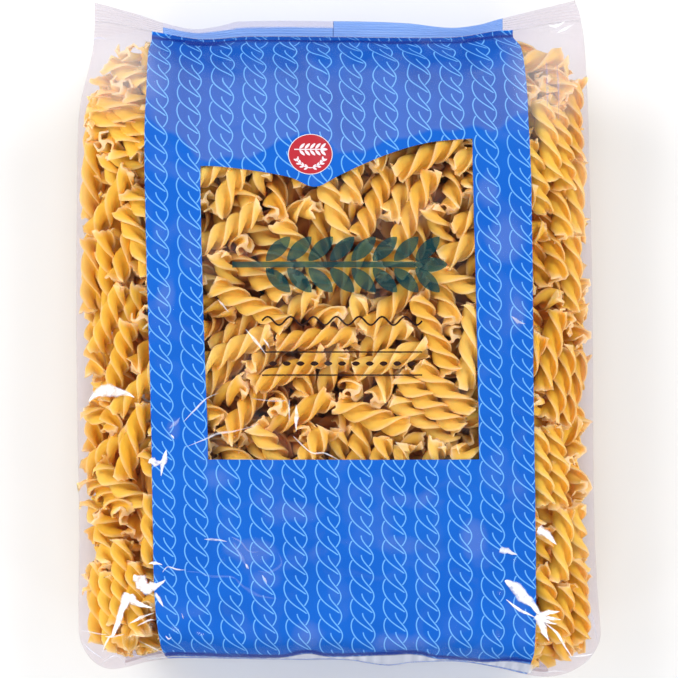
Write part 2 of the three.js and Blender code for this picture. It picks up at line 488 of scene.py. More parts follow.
haze_and_sheen = add_node(tree, "MapRange", haze_and_sheen_sum, 0.88, 1.3, 0.0, 0.06)
milk_haze_and_sheen = add_node(tree, "Math", milk_and_sheen, 0.55, haze_and_sheen, operation="MULTIPLY_ADD", use_clamp=True)
passing = add_node(tree, "BsdfTransparent", linear("#f4f0f3"))
milky_sheen_white = add_node(tree, "BsdfDiffuse", linear("#eaedf3"))
hazed_and_sheened = add_node(tree, "MixShader", milk_haze_and_sheen, passing, milky_sheen_white)
gloss = add_node(tree, "BsdfGlossy", {"Color": linear("#ffffff"), "Roughness": 0.16})
slant = add_node(tree, "LayerWeight", 0.5, output="Facing")
slant_power = add_node(tree, "Math", slant, 6.5, operation="POWER")
mirror = add_node(tree, "Math", slant_power, 0.34, 0.016, operation="MULTIPLY_ADD")
tree.links.new(add_node(tree, "MixShader", mirror, hazed_and_sheened, gloss), surface)

on_rim = np.zeros((film_rows, film_columns), bool)
on_rim[[0, -1]] = True
on_rim[:, [0, -1]] = True
rim_z = rim_height(film_u, film_x, film_y)
front_points = np.stack([film_x, film_y, np.where(on_rim, rim_z, film_front)], -1).reshape(-1, 3)
back_points = np.stack([film_x, film_y, film_back], -1)[~on_rim]
back_index = np.arange(film_rows * film_columns).reshape(film_rows, film_columns)
back_index[~on_rim] = film_rows * film_columns + np.arange((~on_rim).sum())
front_faces = grid_faces(film_rows, film_columns)
back_faces = back_index.ravel()[front_faces][:, ::-1]
film = make_piece(
    "clear_film",
    np.concatenate([front_points, back_points]),
    np.concatenate([front_faces, back_faces]),
    clear_film,
)
for value_name, values in (("milk_and_sheen", film_milk_and_sheen), ("haze_and_sheen", film_haze_and_sheen)):
    point_values(film, value_name, np.concatenate([values.ravel(), values[~on_rim] * 0]))

# Pinched folds with painted glints
# Where the bag has been knocked or squeezed the film has folded sharply and kinked. Each fold is
# a strip lying on the film, with a low ridge along its middle, and a painted white glint along it.

# Each fold's path on the front, its half width, whether it is pointed at its near end too, and
# how bright its painted glint is
GLINT_FOLDS = [
    ([(-86.3, -104.6), (-88.8, -110.4), (-91.3, -117.4), (-93.4, -122.8)], 2.0, False, 1.0),
    ([(-86.3, -105.0), (-82.6, -108.3), (-76.4, -110.0)], 1.7, False, 1.0),
    ([(-84.2, -96.7), (-81.3, -100.0), (-77.6, -104.2)], 3.6, True, 0.95),
    ([(-81.3, -101.3), (-76.4, -101.7), (-71.0, -98.4)], 2.4, False, 0.9),
    ([(-78.0, -92.1), (-75.1, -91.7), (-72.2, -92.5)], 0.9, True, 0.9),
    ([(-86.3, -117.0), (-80.9, -114.1), (-75.5, -112.0)], 0.8, True, 0.8),
    ([(-83.0, -117.9), (-78.4, -115.4), (-75.5, -115.0)], 0.6, True, 0.7),
    ([(-97.9, -129.9), (-95.9, -124.9), (-93.0, -121.2)], 0.6, True, 0.6),
    ([(-96.7, -122.8), (-92.5, -122.4), (-88.0, -121.2)], 0.6, True, 0.6),
    ([(-82.6, -123.7), (-74.7, -127.8), (-71.4, -129.9)], 0.5, True, 0.5),
    ([(-75.1, -103.8), (-73.9, -106.2), (-71.8, -109.6)], 1.2, True, 0.8),
    ([(67.8, -98.8), (73.2, -102.6), (78.4, -108.0), (82.4, -113.3)], 3.3, True, 0.95),
    ([(68.3, -106.5), (74.0, -110.8), (81.4, -114.4)], 0.9, True, 0.9),
    ([(81.4, -113.1), (86.0, -112.4), (91.0, -112.0)], 1.3, False, 1.0),
    ([(81.5, -113.5), (86.8, -114.6), (91.6, -115.6)], 1.0, False, 1.0),
    ([(81.6, -113.9), (86.0, -116.2), (89.8, -117.2)], 0.9, False, 0.9),
    ([(81.2, -112.7), (83.4, -118.3), (86.4, -124.1)], 1.9, False, 1.0),
    ([(84.6, -116.6), (90.2, -121.6), (93.0, -126.6), (96.3, -131.6)], 0.8, True, 0.9),
    ([(96.3, -131.1), (101.7, -131.3), (107.1, -131.1)], 0.5, True, 0.8),
    ([(81.8, -77.6), (85.5, -80.5), (89.6, -84.7)], 2.0, False, 0.85),
    ([(65.8, -85.7), (69.0, -86.9), (73.0, -88.2)], 1.5, False, 0.7),
    ([(-103.8, -25.7), (-94.6, -21.2), (-83.8, -24.1)], 3.3, True, 0.85),
    ([(-70.6, -45.4), (-71.8, -50.0), (-72.9, -56.2)], 1.6, True, 0.85),
    ([(-77.8, -49.4), (-74.8, -50.6), (-71.4, -49.8)], 1.7, False, 0.8),
    ([(-63.0, -44.3), (-55.2, -41.1), (-49.4, -38.6), (-43.6, -37.8), (-36.9, -36.1),
      (-32.4, -34.4)], 0.6, True, 0.5),
    ([(-63.6, -33.9), (-59.5, -29.5), (-54.0, -24.3), (-49.0, -22.0)], 0.5, True, 0.6),
    ([(-69.5, -36.5), (-67.0, -34.5), (-65.0, -32.0)], 1.2, True, 0.3),
    ([(-68.8, -39.0), (-68.0, -40.0), (-67.5, -40.8)], 0.5, True, 0.8),
    ([(70.5, 9.5), (73.5, 7.2), (76.5, 6.2)], 1.1, True, 0.45),
    ([(-35.7, -24.1), (-26.1, -25.3), (-20.8, -24.5)], 0.5, True, 0.4),
    ([(-20.3, -24.5), (-20.3, -29.0), (-20.3, -33.6)], 0.5, True, 0.5),
    ([(-17.4, -26.6), (-17.4, -32.0), (-17.4, -37.8)], 1.1, True, 0.8),
    ([(-18.7, -39.4), (-11.6, -46.1), (-5.8, -46.5), (0.0, -49.4)], 0.6, True, 0.5),
    ([(-38.2, 4.1), (-34.0, -0.8), (-29.5, -6.6)], 0.8, True, 0.6),
    ([(-31.1, 0.4), (-29.5, -1.7), (-28.2, -4.1)], 0.6, True, 0.6),
    ([(-49.4, 16.2), (-47.3, 13.7), (-44.8, 10.8)], 0.6, True, 0.5),
    ([(86.7, 130.7), (90.1, 129.9), (94.2, 132.4)], 0.8, True, 0.9),
    ([(90.5, 127.0), (93.8, 128.7), (97.5, 130.7)], 0.8, True, 0.9),
    ([(90.1, 115.0), (90.5, 103.3), (90.5, 90.1)], 0.6, True, 0.25),
    ([(-107.0, -121.0), (-101.0, -121.6), (-95.0, -122.0)], 0.5, True, 0.45),
    ([(-106.5, -126.0), (-101.5, -130.5), (-96.0, -133.0)], 0.5, True, 0.4),
    ([(-99.0, -135.5), (-92.0, -131.0), (-88.5, -136.0)], 0.5, True, 0.45),
    ([(-88.0, -129.5), (-79.0, -131.5), (-71.5, -133.5)], 0.6, True, 0.35),
    ([(84.0, -138.6), (89.5, -137.6), (95.0, -139.0)], 0.5, True, 0.6),
    ([(100.0, -136.5), (104.0, -134.0), (107.5, -129.0)], 0.5, True, 0.35),
    ([(104.0, -112.0), (106.0, -119.0), (107.5, -126.0)], 0.4, True, 0.3),
    ([(-104.5, 121.0), (-101.0, 124.5), (-95.0, 124.0)], 0.5, True, 0.3),
    ([(85.5, 115.8), (85.9, 103.3), (85.5, 95.0)], 0.9, True, 0.2),
    ([(-71.0, -121.5), (-69.8, -122.8), (-68.6, -122.0)], 0.6, True, 0.8),
    ([(-64.4, -112.0), (-63.8, -113.4), (-63.6, -114.4)], 0.4, True, 0.5),
    ([(-72.2, -95.5), (-70.0, -93.2), (-66.0, -94.2), (-62.5, -94.4)], 0.5, True, 0.7),
    ([(-63.0, -95.0), (-57.1, -95.4), (-51.8, -96.9), (-43.3, -97.2), (-38.8, -101.1)], 0.7, True, 0.15),
    ([(-42.0, -98.0), (-38.8, -101.1), (-32.7, -104.5), (-25.1, -105.7)], 0.9, True, 0.15),
    ([(-55.1, -81.8), (-50.0, -81.9), (-45.6, -82.6)], 0.8, True, 0.5),
    ([(-43.9, -80.6), (-40.3, -82.5), (-36.6, -86.5), (-32.7, -86.7)], 0.6, True, 0.22),
    ([(-43.0, -82.7), (-40.0, -88.5), (-37.0, -93.6)], 1.1, True, 0.2),
    ([(-38.2, -91.6), (-37.4, -92.8), (-36.8, -93.8)], 0.8, True, 0.7),
    ([(-31.5, -96.2), (-30.2, -98.0), (-29.4, -100.2)], 0.7, True, 0.45),
    ([(-33.0, -94.5), (-28.0, -95.0), (-23.5, -91.5), (-25.0, -87.0)], 0.7, True, 0.15),
]
FOLD_STEPS = 40
FOLD_LINES = 9
FOLD_RIDGE = 0.25
GLINT_STREAK = 2.38


def along_path(path, share):
    """Places at shares of a path's number of points, smoothly joined, and the unit sideways
    direction at each."""
    order = np.linspace(0, 1, len(path))
    x, y = (
        curve_through([(o, point[axis]) for o, point in zip(order, path)], share)
        if len(path) > 3
        else np.polyval(np.polyfit(order, [point[axis] for point in path], 2), share)
        for axis in (0, 1)
    )
    dx, dy = np.gradient(x), np.gradient(y)
    length = np.hypot(dx, dy)
    return x, y, -dy / length, dx / length


def glint_fold_strips():
    """Grids of all folds: along the path, and across it from -1 to 1. The half width swells and
    narrows with a few sine waves and runs out to a point at the far end, and at the near end
    too if the fold is pointed there; the painted glint is highest on the ridge and none at the edges."""
    points, glint_strengths, faces = [], [], []
    seeded = np.random.default_rng(3)
    share = np.linspace(0, 1, FOLD_STEPS)
    across = np.linspace(-1, 1, FOLD_LINES)
    for number, (path, half, pointed, glint_strength) in enumerate(GLINT_FOLDS):
        x, y, side_x, side_y = along_path(path, share)
        start = np.clip(share / 0.5, 0, 1) ** 0.7 if pointed else np.clip(share / 0.06, 0, 1)
        end = np.clip((1 - share) / 0.6, 0, 1) ** 0.8
        uneven = np.ones((2, FOLD_STEPS))
        for waves in (1.3, 2.9, 5.7, 11.0):
            phase = seeded.uniform(0, 2 * np.pi, (2, 1))
            uneven += 0.3 / waves * np.sin(2 * np.pi * waves * share + phase)
        width = half * start * end * np.maximum(uneven, 0.12)
        reach = np.where(across[None] < 0, width[0][:, None], width[1][:, None]) * across
        px = x[:, None] + reach * side_x[:, None]
        py = y[:, None] + reach * side_y[:, None]
        ridge = FOLD_RIDGE * (1 - np.abs(across)) * (start * end)[:, None]
        pz = front_height(px, py) + 0.07 + ridge
        points.append(np.stack([px, py, pz], -1).reshape(-1, 3))
        glint_strengths.append((glint_strength * (1 - np.abs(across) ** 3) * np.ones_like(px)).ravel())
        faces.append(grid_faces(FOLD_STEPS, FOLD_LINES, number * FOLD_STEPS * FOLD_LINES))
    return np.concatenate(points), np.concatenate(faces), np.concatenate(glint_strengths)


# The same film along the folds, still glossy, with painted glints in streaks: white where a fold
# glints brightly, and a painted bluish reflection of sky where it glints faintly.
glint_film, tree, surface = new_material("polypropylene_film_with_painted_glints")
glint_strength = add_node(tree, "Attribute", output="Fac", attribute_name="glint_strength")
object_place = add_node(tree, "TexCoord", output="Object")
streaks = add_node(
    tree, "TexNoise", {"Vector": object_place, "Scale": 1 / (GLINT_STREAK * MM), "Detail": 3.0}
)
streaked = add_node(tree, "MapRange", streaks, 0.32, 0.5, 0.55, 1.0)
glint_share = add_node(tree, "Math", glint_strength, streaked, operation="MULTIPLY", use_clamp=True)
glint_tint_share = add_node(tree, "Math", glint_strength, 2.2, operation="MULTIPLY", use_clamp=True)
glint_tint = add_node(
    tree,
    "Mix",
    {"Factor": glint_tint_share, "A": linear("#6fa4ff"), "B": linear("#fdfbff")},
    output="Result",
    data_type="RGBA",
)
glint_surface = add_node(
    tree, "BsdfPrincipled", {"Base Color": glint_tint, "Roughness": 0.2, "IOR": 1.49}
)
clear = add_node(tree, "BsdfTransparent")
tree.links.new(add_node(tree, "MixShader", glint_share, clear, glint_surface), surface)
fold_points, fold_faces, fold_glint_strengths = glint_fold_strips()
glint_folds = make_piece("film_glint_folds", fold_points, fold_faces[:, ::-1], glint_film)
point_values(glint_folds, "glint_strength", fold_glint_strengths)

# The print
# The film is printed from behind in blue, in a wide panel down the front with a window left
# clear in it, and in one without a window down the back. The ink is a thin layer just inside
# the film, covered with columns of pale blue twisted cord, a common ornament.

INK_DEPTH = 0.16
CORD_PITCH = 13.63
CORD_HALF_WIDTH = 4.9
CORD_PERIOD = 7.9
CORD_LINE = 0.24
CORD_SOFTNESS = 0.08
FIRST_CORD = 4.55
PANEL_WIDTH = 159.0
FOLD_BAND = 2.9
BOTTOM_SLACK = 0.4
CORD_SKEW = (1.6, -0.8)
INK_PATCH = 33.3
SLACK_FOLD = 18.2
EDGE_STREAK = (25.0, 2.0)

panel_left_index = len(COLUMN_STRIPS[0]) - 1
window_left_index = panel_left_index + len(COLUMN_STRIPS[1]) - 1
window_right_index = window_left_index + len(COLUMN_STRIPS[2]) - 1
panel_right_index = window_right_index + len(COLUMN_STRIPS[3]) - 1
lip_index = len(ROW_BANDS[0]) - 1
window_bottom_index = lip_index + len(ROW_BANDS[1]) - 1
window_top_index = window_bottom_index + len(ROW_BANDS[2]) - 1


def skin_normals(x, y, z):
    """Unit normals of a height sheet on a grid, from the differences along rows and columns."""
    along_u = np.stack([np.gradient(a, axis=1) for a in (x, y, z)], -1)
    along_v = np.stack([np.gradient(a, axis=0) for a in (x, y, z)], -1)
    normal = np.cross(along_u, along_v)
    return normal / np.linalg.norm(normal, axis=-1, keepdims=True)


def print_places():
    """Print coordinates in millimetres: across from the panel's left edge, as the share of its
    width, and along as the length of the film's path down the middle, so that the pattern
    crowds together where the film slopes away. At the bottom, where the film is slack, it is
    drawn out and crowds less. The film has been pulled a little askew, so the pattern is lower
    at its left edge than at its right. Just below the crimp the film is crumpled, which shifts
    the pattern to and fro by a few sines."""
    left = film_x[:, panel_left_index][:, None]
    right = film_x[:, panel_right_index][:, None]
    across = (film_x - left) / (right - left) * PANEL_WIDTH
    middle_y = np.linspace(-140, 128, 800)
    middle_z = front_height(np.zeros_like(middle_y), middle_y)
    slack = np.where(middle_y[1:] < 0, BOTTOM_SLACK, 1.0)
    run = np.cumsum(np.hypot(np.diff(middle_y), slack * np.diff(middle_z)))
    run = np.concatenate([[0], run])
    along = np.interp(film_y, middle_y, run) + np.interp(across, [0, PANEL_WIDTH], CORD_SKEW)
    crumpled = smooth_step(film_y, 92, 118) * np.exp(-(((film_x + 2) / 62) ** 4))
    across = across + crumpled * (np.sin(film_y / 4 + film_x / 15) + 0.7 * np.sin(film_y / 2.3))
    along = along + crumpled * (1.1 * np.sin(film_x / 6 + film_y / 19) + 0.8 * np.sin(film_x / 3.1))
    return across, along


print_across, print_along = print_places()

# Flexographic ink under film: flat blue with thin pale lines, painted shade where the film is
# slack and in the fold band, and the film's gloss over it.
printed_blue_with_painted_shade, tree, surface = new_material("flexographic_ink_blue_with_painted_shade")
place = add_node(tree, "Attribute", output="Vector", attribute_name="print_mm")
across_mm, along_mm, from_fold = add_node(tree, "SeparateXYZ", place).node.outputs
slack = add_node(tree, "Attribute", output="Fac", attribute_name="slack")
object_place = add_node(tree, "TexCoord", output="Object")
column = add_node(
    tree, "Math", across_mm, 1 / CORD_PITCH, 0.5 - FIRST_CORD / CORD_PITCH, operation="MULTIPLY_ADD"
)
column = add_node(tree, "Math", column, operation="FRACT")
from_column = add_node(tree, "Math", column, CORD_PITCH, -CORD_PITCH / 2, operation="MULTIPLY_ADD")


def cord_strand(middle, reach, turning, first, last, shift):
    """Distance in millimetres to a strand of the cord, drawn from turn first to turn last, one in
    every period, moved down by a share of a period. Its place across is the middle plus the
    reach times the cosine of an angle, both as shares of the half width, and the angle is a
    cubic in the turns down from the strand's bulge. The distance across is divided by the root
    of one plus the square of the strand's slope."""
    a, b, c = turning
    slope_scale = reach * CORD_HALF_WIDTH / CORD_PERIOD
    period = add_node(tree, "Math", along_mm, 1 / CORD_PERIOD, shift, operation="MULTIPLY_ADD")
    period = add_node(tree, "Math", period, operation="FRACT")
    nearest = 1000.0
    for copy in range(int(np.floor(first)), int(np.ceil(last))):
        turn = add_node(tree, "Math", copy + 1.0, period, operation="SUBTRACT")
        rate = add_node(tree, "Math", turn, c, b, operation="MULTIPLY_ADD")
        rate = add_node(tree, "Math", rate, turn, a, operation="MULTIPLY_ADD")
        angle = add_node(tree, "Math", rate, turn, operation="MULTIPLY")
        bulge = add_node(tree, "Math", angle, operation="COSINE")
        bulge = add_node(tree, "Math", bulge, reach, middle, operation="MULTIPLY_ADD")
        off = add_node(tree, "Math", bulge, -CORD_HALF_WIDTH, from_column, operation="MULTIPLY_ADD")
        off = add_node(tree, "Math", off, operation="ABSOLUTE")
        speed = add_node(tree, "Math", turn, 3 * c, 2 * b, operation="MULTIPLY_ADD")
        speed = add_node(tree, "Math", speed, turn, a, operation="MULTIPLY_ADD")
        speed = add_node(tree, "Math", speed, slope_scale, operation="MULTIPLY")
        slope = add_node(tree, "Math", angle, operation="SINE")
        slope = add_node(tree, "Math", slope, speed, operation="MULTIPLY")
        steepness = add_node(tree, "Math", slope, slope, 1.0, operation="MULTIPLY_ADD")
        steepness = add_node(tree, "Math", steepness, operation="SQRT")
        distance = add_node(tree, "Math", off, steepness, operation="DIVIDE")
        before = add_node(tree, "Math", first, turn, operation="SUBTRACT")
        after = add_node(tree, "Math", turn, last, operation="SUBTRACT")
        beyond = add_node(tree, "Math", before, after, operation="MAXIMUM")
        beyond = add_node(tree, "Math", beyond, CORD_PERIOD, operation="MULTIPLY")
        distance = add_node(tree, "Math", distance, beyond, operation="MAXIMUM")
        nearest = add_node(tree, "Math", nearest, distance, operation="MINIMUM")
    return nearest


# The strand that crosses from the left bulge, and the one that curls out of the middle
crossing_strand = cord_strand(0.0, -1.0, (1.49, -0.29, 0.47), -0.38, 1.28, 0.0)
curling_strand = cord_strand(0.5, 0.5, (np.pi / 1.13, 0.0, 0.0), -1.1, 0.42, 0.457)
cord_distance = add_node(tree, "Math", crossing_strand, curling_strand, operation="MINIMUM")
cord_line = add_node(
    tree, "MapRange", cord_distance, CORD_LINE - CORD_SOFTNESS, CORD_LINE + CORD_SOFTNESS, 1.0, 0.0
)
ink_noise = add_node(
    tree, "TexNoise", {"Vector": object_place, "Scale": 1 / (INK_PATCH * MM), "Detail": 2.0}
)
# Slack film lies in soft folds that run out of the crimp; their shade is painted on the print,
# greyer and darker
fold_shades = []
for lean in (-0.6, 0.5):
    turned = add_node(
        tree,
        "Mapping",
        {"Vector": object_place, "Rotation": (0.0, 0.0, lean), "Scale": (1.0, 0.3, 1.0)},
    )
    fold_shades.append(add_node(
        tree,
        "TexNoise",
        {"Vector": turned, "Scale": 1 / (SLACK_FOLD * MM), "Detail": 3.0, "Distortion": 0.5},
    ))
shade = add_node(tree, "Math", *fold_shades, operation="MAXIMUM")
shade = add_node(tree, "MapRange", shade, 0.45, 0.72, 0.35, 1.0)
shade = add_node(tree, "Math", shade, slack, operation="MULTIPLY")
# Where the print turns into the crimp and under the bottom it is folded in sharp small streaks,
# and a painted navy shade darkens that fold band
streak_scale = (1 / (EDGE_STREAK[0] * MM), 1 / (EDGE_STREAK[1] * MM), 1.0)
stretched = add_node(tree, "Mapping", {"Vector": object_place, "Scale": streak_scale})
streak = add_node(tree, "TexNoise", {"Vector": stretched, "Scale": 1.0, "Detail": 2.0})
streaky_fold = add_node(tree, "Math", streak, 3.0, -1.5, operation="MULTIPLY_ADD")
streaky_fold = add_node(tree, "Math", streaky_fold, from_fold, operation="ADD")
fold_shade = add_node(tree, "MapRange", streaky_fold, 1.2, 1.8, 0.2, 1.0)
in_fold = add_node(tree, "MapRange", streaky_fold, FOLD_BAND - 0.3, FOLD_BAND + 0.6, 1.0, 0.0)
fold_shade = add_node(tree, "Math", fold_shade, in_fold, operation="MULTIPLY")
# Over the blue in turn: random ink tone, painted shade of slack folds, cord lines, painted fold shade
colour = linear("#1360c6")
for share, hex_colour in (
    (ink_noise, "#1e70d4"), (shade, "#1a56b6"), (cord_line, "#72bcf9"), (fold_shade, "#0c3696"),
):
    colour = add_node(
        tree,
        "Mix",
        {"Factor": share, "A": colour, "B": linear(hex_colour)},
        output="Result",
        data_type="RGBA",
    )
ink = add_node(
    tree, "BsdfPrincipled", {"Base Color": colour, "Roughness": 0.5, "Specular IOR Level": 0.0}
)
tree.links.new(ink, surface)


def print_layer(name, z, keep, side):
    """The kept cells of the film's grid, moved in by the ink's depth along the film's normal."""
    points = np.stack([film_x, film_y, z], -1)
    points = points - side * INK_DEPTH * skin_normals(film_x, film_y, z)
    faces = grid_faces(film_rows, film_columns)[keep.ravel()]
    used, renumbered = np.unique(faces, return_inverse=True)
    faces = renumbered.reshape(-1, 4)
    layer = make_piece(
        name, points.reshape(-1, 3)[used], faces if side > 0 else faces[:, ::-1], printed_blue_with_painted_shade
    )
    below_crimp = curve_through(CRIMP_LINE, film_x) - film_y
    above_lip = film_y - curve_through(BOTTOM_EDGE, film_x) - curve_through(SEAL_LIP, film_x)
    from_fold = np.minimum(below_crimp, above_lip + FOLD_BAND / 2)
    places = np.stack([print_across, print_along, from_fold], -1).reshape(-1, 3)
    point_values(layer, "print_mm", places[used], "FLOAT_VECTOR")
    # The slack share carries the painted shade of the soft folds, on the front only
    point_values(layer, "slack", film_slack.ravel()[used] * (side > 0))
    return layer


keep_front = np.zeros((film_rows - 1, film_columns - 1), bool)
keep_front[:, panel_left_index:panel_right_index] = True
keep_back = keep_front.copy()
keep_front[window_bottom_index:window_top_index, window_left_index:window_right_index] = False
print_layer("printed_front_panel", film_front, keep_front, 1)
print_layer("printed_back_panel", film_back, keep_back, -1)

# Printed devices
# More flat inks on the same film, each a thin sheet that follows it just under its surface: a
# red disc with a white rim, ear and garland at the point of the window's edge, a large
# see-through teal ear of wheat across the window, and thin dark lines below it.

DISC_CENTRE = (-11.7, 75.5)
DISC_RADIUS = 9.1
DISC_SQUASH = 0.91
DEVICE_DEPTH = 0.09
EAR_CENTRE = (-0.6, 30.4)
EAR_LENGTH = 86.0
RULE_LEFT = -31.4
RULE_RIGHT = 33.9
RULE_LEVELS = (-5.3, -14.7)
WAVE_LEVEL = 7.4


def flat_ink(name, hex_colour, alpha=None):
    """An ink's material: opaque, or see-through like a coloured glass with some body."""
    material, tree, surface = new_material(name)
    ink = add_node(
        tree,
        "BsdfPrincipled",
        {"Base Color": linear(hex_colour), "Roughness": 0.5, "Specular IOR Level": 0.0},
    )
    if alpha is not None:
        through = add_node(tree, "BsdfTransparent", linear("#93bcc6"))
        ink = add_node(tree, "MixShader", alpha, through, ink)
    tree.links.new(ink, surface)
    return material


def leaf_grid(centre, heading, length, width, steps=16):
    """Grid of a leaf or grain: pointed at both ends, and as wide as a sine lets it be between."""
    t = np.linspace(0, 1, steps)[:, None]
    s = np.linspace(-1, 1, 5)[None]
    along = (t - 0.5) * length + 0 * s
    across = s * width / 2 * np.sin(np.pi * t) ** 0.7
    cos, sin = np.cos(heading), np.sin(heading)
    return centre[0] + along * cos - across * sin, centre[1] + along * sin + across * cos


def band_grid(path_x, path_y, width):
    """Grid of a band of even width along a line of places."""
    dx, dy = np.gradient(path_x), np.gradient(path_y)
    length = np.hypot(dx, dy)
    s = np.linspace(-0.5, 0.5, 3)[None] * width
    return (
        path_x[:, None] - s * (dy / length)[:, None],
        path_y[:, None] + s * (dx / length)[:, None],
    )


def ring_grid(centre, inner, outer, spokes=72, rings=10):
    """Grid of a slightly flattened ring, or of a disc if inner is small, by radius and angle."""
    radius = np.linspace(inner, outer, rings)[:, None]
    angle = np.linspace(2 * np.pi, 0, spokes)[None]
    return centre[0] + radius * np.cos(angle), centre[1] + DISC_SQUASH * radius * np.sin(angle)


def garland(centre, radius, leaf, stem):
    """Grids of a garland, open at the top: a band round part of a circle, and pairs of leaves
    along it that lean away from it on both sides and point up at both ends."""
    angle = np.radians(np.linspace(202, 338, 50))
    grids = [band_grid(centre[0] + radius * np.cos(angle), centre[1] + radius * np.sin(angle), stem)]
    for angle in np.radians((213, 229, 245, 261, 279, 295, 311, 327)):
        onwards = angle + np.sign(np.cos(angle)) * np.pi / 2
        for side in (1, -1):
            heading = onwards + side * 0.6
            middle = (
                centre[0] + radius * np.cos(angle) + leaf[0] / 2 * np.cos(heading),
                centre[1] + radius * np.sin(angle) + leaf[0] / 2 * np.sin(heading),
            )
            grids.append(leaf_grid(middle, heading, leaf[0], leaf[1]))
    return grids


def wheat_ear(centre, length, pairs, grain, stem):
    """Grids of an ear of wheat that lies along x: a stem, pairs of grains that lean outwards on
    both sides of it, and one at its tip."""
    start, end = centre[0] - length / 2, centre[0] + length / 2 - grain[0] * 0.8
    x = np.linspace(start, end, 60)
    grids = [band_grid(x, np.full_like(x, centre[1]), stem)]
    for place in np.linspace(start + length * 0.16, end, pairs):
        for side in (1, -1):
            lean = side * np.radians(45)
            middle = (
                place + grain[0] / 2 * np.cos(lean),
                centre[1] + side * stem * 0.6 + grain[0] / 2 * np.sin(lean),
            )
            grids.append(leaf_grid(middle, lean, grain[0], grain[1]))
    grids.append(leaf_grid((end + grain[0] * 0.45, centre[1]), 0.0, grain[0], grain[1]))
    return grids


def make_device(name, grids, material, depth):
    """One piece from several grids of x and y laid on the film at a depth below its surface."""
    points, faces, count = [], [], 0
    for x, y in grids:
        z = front_height(x, y) - depth
        points.append(np.stack([x, y, z], -1).reshape(-1, 3))
        cells = grid_faces(*x.shape, count)
        turn = (x[1, 1] - x[0, 0]) * (y[0, 1] - y[0, 0]) - (y[1, 1] - y[0, 0]) * (x[0, 1] - x[0, 0])
        faces.append(cells if turn < 0 else cells[:, ::-1])
        count += x.size
    device = make_piece(name, np.concatenate(points), np.concatenate(faces), material)
    return device


red_ink = flat_ink("flexographic_ink_red", "#be3640")
white_ink = flat_ink("flexographic_ink_white", "#f3eff0")
teal_ink = flat_ink("flexographic_ink_teal", "#1d5257", 0.5)
dark_ink = flat_ink("flexographic_ink_dark_brown", "#33211c")
make_device("emblem_disc", [ring_grid(DISC_CENTRE, 0.02, DISC_RADIUS)], red_ink, DEVICE_DEPTH)
make_device(
    "emblem_ring_and_ear",
    [ring_grid(DISC_CENTRE, DISC_RADIUS - 0.3, DISC_RADIUS, rings=3)]
    + wheat_ear((DISC_CENTRE[0], DISC_CENTRE[1] + 2.0), 13.2, 5, (3.1, 1.15), 0.45)
    + garland((DISC_CENTRE[0], DISC_CENTRE[1] + 0.6), 6.1, (1.9, 0.8), 0.4),
    white_ink,
    DEVICE_DEPTH - 0.04,
)
make_device(
    "ear_ornament",
    wheat_ear(EAR_CENTRE, EAR_LENGTH, 8, (14.0, 5.9), 2.4),
    teal_ink,
    DEVICE_DEPTH,
)
rule_x = np.linspace(RULE_LEFT, RULE_RIGHT, 60)
wave_x = np.linspace(RULE_LEFT, RULE_RIGHT, 160)
wave_turn = 2 * np.pi * (wave_x - RULE_LEFT) / 9.33
lozenges = [
    leaf_grid((x, np.mean(RULE_LEVELS)), 0.0, 3.4, 1.9, 10)
    for x in np.linspace(RULE_LEFT + 4.5, RULE_RIGHT - 4.5, 11)
]
make_device(
    "thin_rules",
    [band_grid(rule_x, np.full_like(rule_x, level), 0.6) for level in RULE_LEVELS]
    + [band_grid(wave_x, WAVE_LEVEL + 1.7 * np.sin(wave_turn), 0.75)]
    + lozenges,
    dark_ink,
    DEVICE_DEPTH,
)

# The pasta
# Durum wheat dough pushed through a die with three curved slots, twisted as it comes out, cut off
# square and dried: a screw of three thin hooked blades. The bag is packed full of them, and they
# are settled here by moving apart the ones that overlap, as round-ended rods, inside the film.

TWIST_RADIUS = 4.75
ROD_RADIUS = 4.3
TWIST_COUNT = 1030
TWIST_LEAD = 26.5
CORNER_TWISTS = 18
SETTLING_ROUNDS = 150
NEIGHBOUR_REACH = 38.0
NEIGHBOUR_ROUNDS = 6
PUSH_SHARE = 0.5
PUSH_GAIN = 1.2
FILM_GAP = 0.3
END_LENGTH = 3.2
PASTA_MOTTLE = 4.55
PASTA_GRIT = 0.714
FIELD_STEP = 4.0
FIELD_BOX = ((-114, 115), (-146, 136), (-2, 75))
SCATTER_BOX = ((-106, -136, 4), (106, 126, 66))
SHOULDER_BOX = ((62, 96, 36), (97, 122, 56))
HALF_LENGTHS = (11.5, 14.5)
SIDE_START = 72
LEAN_SPREAD = 0.5

pasta_random = np.random.default_rng(5)


def depth_field():
    """How deep a place is inside the film, in millimetres, on a coarse grid of places: the
    distance to the nearest point of the film's mesh, negative outside."""
    near = kdtree.KDTree((film_rows // 2 + 1) * (film_columns // 2 + 1) * 2)
    count = 0
    for z in (film_front, film_back):
        for point in np.stack([film_x, film_y, z], -1)[::2, ::2].reshape(-1, 3):
            near.insert(point, count)
            count += 1
    near.balance()
    axes = [np.arange(low, high, FIELD_STEP) for low, high in FIELD_BOX]
    places = np.stack(np.meshgrid(*axes, indexing="ij"), -1)
    distance = np.array([near.find(p)[2] for p in places.reshape(-1, 3)])
    x, y, z = places.reshape(-1, 3).T
    inside = (z < front_height(x, y)) & (z > back_height(x, y))
    inside &= (y > curve_through(BOTTOM_EDGE, x)) & (y < curve_through(CRIMP_LINE, x))
    inside &= np.abs(across_share(x, y)) < 0.999
    field = np.where(inside, distance, -distance).reshape(places.shape[:3])
    slopes = np.stack(np.gradient(field, FIELD_STEP), -1)
    slopes /= np.maximum(np.linalg.norm(slopes, axis=-1, keepdims=True), 1e-6)
    return np.array([a[0] for a in axes]), np.concatenate([field[..., None], slopes], -1)


field_start, field_values = depth_field()


